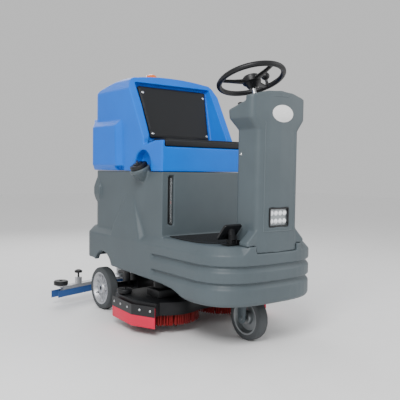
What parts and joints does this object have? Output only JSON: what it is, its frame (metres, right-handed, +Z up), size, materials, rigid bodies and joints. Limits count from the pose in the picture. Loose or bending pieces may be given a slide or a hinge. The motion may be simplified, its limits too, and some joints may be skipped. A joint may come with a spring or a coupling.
{
  "type": "ride on scrubber",
  "caption": "Ride on floor scrubber with a seat on a tilting recovery tank, a steered front wheel, a lifting brush deck and a rear squeegee.",
  "frame": {"origin": "middle of the footprint on the floor", "axes": "-Y is the front of the machine, -X is the driver's right, +Z is up"},
  "size_m": [1.09, 1.6, 1.43],
  "materials": {
    "grey_plastic": "satin moulded",
    "blue_plastic": "satin moulded",
    "mat_rubber": "matte ribbed",
    "black_vinyl": "grained",
    "black_plastic": "matte",
    "headlight_lens": "clear faceted",
    "dark_screen": "gloss",
    "red_plastic": "gloss",
    "bright_steel": "brushed",
    "black_steel": "powder coated",
    "grey_steel": "zinc plated",
    "cast_aluminium": "cast",
    "grey_tyre": "matte",
    "clear_plastic": "clear",
    "filter_bowl": "clear",
    "battery_case": "matte",
    "orange_lens": "gloss",
    "pink_urethane": "satin",
    "red_bristle": "bristle",
    "blue_rubber": "satin"
  },
  "bodies": {
    "machine": {"lower_body": "grey_plastic", "floor_mat": "mat_rubber", "column_cover": "grey_plastic", "headlight": "headlight_lens", "control_panel": "black_plastic", "display_meter": "dark_screen", "steering_head": "black_steel", "transaxle": "cast_aluminium", "drive_motor": "black_steel", "chassis_frame": "black_steel", "battery_right": "battery_case", "battery_left": "battery_case", "controller_box": "cast_aluminium", "vacuum_motor": "black_plastic", "solution_filter": "filter_bowl", "pedal_bracket": "bright_steel", "deck_actuator": "grey_steel", "squeegee_actuator": "black_plastic", "level_tube": "clear_plastic"},
    "steering": {"steering_wheel": "black_plastic", "steering_shaft": "bright_steel"},
    "lower_shaft": {"steering_lower_shaft": "bright_steel"},
    "fork": {"front_fork": "grey_steel"},
    "front_wheel": {"front_rim": "grey_steel", "front_tyre": "grey_tyre"},
    "spinner": {"spinner_knob": "black_plastic"},
    "rear_wheel_right": {"rear_hub_right": "cast_aluminium", "rear_tyre_right": "grey_tyre"},
    "rear_wheel_left": {"rear_hub_left": "cast_aluminium", "rear_tyre_left": "grey_tyre"},
    "pedal": {"accelerator_pedal": "black_plastic"},
    "stop_button": {"emergency_stop": "red_plastic"},
    "speed_dial": {"speed_knob": "black_plastic"},
    "key": {"key_switch": "bright_steel"},
    "direction_rocker": {"direction_switch": "black_plastic"},
    "cap": {"filler_cap": "black_plastic"},
    "float": {"level_float": "red_plastic"},
    "tank": {"recovery_tank": "blue_plastic", "seat_cushion": "black_vinyl", "back_cushion": "black_vinyl", "beacon": "orange_lens"},
    "lid": {"tank_lid": "black_plastic"},
    "deck": {"deck_housing": "black_steel", "side_skirt_right": "pink_urethane", "side_skirt_left": "pink_urethane", "brush_motor_right": "cast_aluminium", "brush_motor_left": "cast_aluminium"},
    "brush_disc_right": {"brush_right": "red_bristle"},
    "brush_disc_left": {"brush_left": "red_bristle"},
    "deck_wheel_right": {"deck_roller_right": "black_plastic"},
    "deck_wheel_left": {"deck_roller_left": "black_plastic"},
    "squeegee_link": {"squeegee_arm": "black_steel"},
    "squeegee_head": {"squeegee_hitch": "grey_steel"},
    "squeegee": {"squeegee_bar": "cast_aluminium", "squeegee_blade_rear": "blue_rubber", "squeegee_blade_front": "blue_rubber"},
    "squeegee_wheel_right": {"squeegee_roller_right": "black_plastic"},
    "squeegee_wheel_left": {"squeegee_roller_left": "black_plastic"},
    "adjuster_right": {"squeegee_knob_right": "black_plastic"},
    "adjuster_left": {"squeegee_knob_left": "black_plastic"}
  },
  "joints": [
    {"name": "steering_turn", "type": "hinge", "parent": "machine", "child": "steering", "pos_m": [0, -0.58, 1.313], "axis": [0, 0.3371, 0.9415], "range_deg": [-173, 173]},
    {"name": "lower_shaft_turn", "type": "hinge", "parent": "machine", "child": "lower_shaft", "pos_m": [0, -0.712, 0.7], "axis": [0, 0, 1], "range_deg": [-173, 173]},
    {"name": "fork_steer", "type": "hinge", "parent": "machine", "child": "fork", "pos_m": [0, -0.597, 0.24], "axis": [0, 0, 1], "range_deg": [-60, 60]},
    {"name": "front_wheel_spin", "type": "hinge", "parent": "fork", "child": "front_wheel", "pos_m": [0, -0.597, 0.1135], "axis": [1, 0, 0], "continuous": true},
    {"name": "spinner_turn", "type": "hinge", "parent": "steering", "child": "spinner", "pos_m": [0.15683, -0.52643, 1.32037], "axis": [0, 0.3371, 0.9415], "continuous": true},
    {"name": "rear_right_spin", "type": "hinge", "parent": "machine", "child": "rear_wheel_right", "pos_m": [-0.304, 0.385, 0.127], "axis": [1, 0, 0], "continuous": true},
    {"name": "rear_left_spin", "type": "hinge", "parent": "machine", "child": "rear_wheel_left", "pos_m": [0.304, 0.385, 0.127], "axis": [1, 0, 0], "continuous": true},
    {"name": "pedal_press", "type": "hinge", "parent": "machine", "child": "pedal", "pos_m": [-0.2, -0.694, 0.54], "axis": [1, 0, 0], "range_deg": [0, 18], "stiffness_Nm_per_rad": 4, "springref_deg": -6.88},
    {"name": "stop_press", "type": "slide", "parent": "machine", "child": "stop_button", "axis": [0, -0.2761, -0.9611], "range_m": [0, 0.004], "stiffness_N_per_m": 600, "springref_m": -0.002},
    {"name": "speed_turn", "type": "hinge", "parent": "machine", "child": "speed_dial", "pos_m": [-0.13, -0.65362, 1.1621], "axis": [0, 0.2761, 0.9611], "range_deg": [0, 270]},
    {"name": "key_turn", "type": "hinge", "parent": "machine", "child": "key", "pos_m": [-0.08, -0.69262, 1.1733], "axis": [0, 0.2761, 0.9611], "range_deg": [-60, 0]},
    {"name": "direction_rock", "type": "hinge", "parent": "machine", "child": "direction_rocker", "pos_m": [-0.078, -0.63862, 1.15779], "axis": [1, 0, 0], "range_deg": [-8, 8]},
    {"name": "cap_turn", "type": "hinge", "parent": "machine", "child": "cap", "pos_m": [-0.338, -0.072, 0.862], "axis": [-0.4067, 0, 0.9135], "range_deg": [0, 120]},
    {"name": "float_rise", "type": "slide", "parent": "machine", "child": "float", "axis": [0, 0, 1], "range_m": [-0.09, 0.11]},
    {"name": "tank_tilt", "type": "hinge", "parent": "machine", "child": "tank", "pos_m": [0.322, 0.13, 0.8445], "axis": [0, 1, 0], "range_deg": [0, 60]},
    {"name": "lid_open", "type": "hinge", "parent": "tank", "child": "lid", "pos_m": [0.13, 0.41844, 1.35571], "axis": [-1, 0, 0], "range_deg": [0, 100]},
    {"name": "deck_lift", "type": "slide", "parent": "machine", "child": "deck", "axis": [0, 0, -1], "range_m": [0, 0.045]},
    {"name": "brush_right_spin", "type": "hinge", "parent": "deck", "child": "brush_disc_right", "pos_m": [-0.215, -0.13, 0.12], "axis": [0, 0, 1], "continuous": true},
    {"name": "brush_left_spin", "type": "hinge", "parent": "deck", "child": "brush_disc_left", "pos_m": [0.215, -0.13, 0.12], "axis": [0, 0, 1], "continuous": true},
    {"name": "deck_roller_right_spin", "type": "hinge", "parent": "deck", "child": "deck_wheel_right", "pos_m": [-0.384, -0.002, 0.19], "axis": [0, 0, 1], "continuous": true},
    {"name": "deck_roller_left_spin", "type": "hinge", "parent": "deck", "child": "deck_wheel_left", "pos_m": [0.384, -0.002, 0.19], "axis": [0, 0, 1], "continuous": true},
    {"name": "squeegee_lift", "type": "hinge", "parent": "machine", "child": "squeegee_link", "pos_m": [0, 0.51, 0.2], "axis": [-1, 0, 0], "range_deg": [0, 16]},
    {"name": "squeegee_level", "type": "hinge", "parent": "squeegee_link", "child": "squeegee_head", "pos_m": [0, 0.68, 0.15], "axis": [1, 0, 0], "range_deg": [0, 16]},
    {"name": "squeegee_swing", "type": "hinge", "parent": "squeegee_head", "child": "squeegee", "pos_m": [0, 0.68, 0.12], "axis": [0, 0, 1], "range_deg": [-12, 12]},
    {"name": "squeegee_roller_right_spin", "type": "hinge", "parent": "squeegee", "child": "squeegee_wheel_right", "pos_m": [-0.487, 0.61341, 0.14], "axis": [0, 0, 1], "continuous": true},
    {"name": "squeegee_roller_left_spin", "type": "hinge", "parent": "squeegee", "child": "squeegee_wheel_left", "pos_m": [0.487, 0.61341, 0.14], "axis": [0, 0, 1], "continuous": true},
    {"name": "adjuster_right_turn", "type": "hinge", "parent": "squeegee", "child": "adjuster_right", "pos_m": [-0.35, 0.65432, 0.18], "axis": [0, 0, 1], "range_deg": [-180, 180]},
    {"name": "adjuster_left_turn", "type": "hinge", "parent": "squeegee", "child": "adjuster_left", "pos_m": [0.35, 0.65432, 0.18], "axis": [0, 0, 1], "range_deg": [-180, 180]}
  ],
  "couplings": [
    {"joint": "steering_turn", "follows": "fork_steer", "ratio": 2.875},
    {"joint": "lower_shaft_turn", "follows": "fork_steer", "ratio": 2.875},
    {"joint": "squeegee_level", "follows": "squeegee_lift", "ratio": 1}
  ]
}
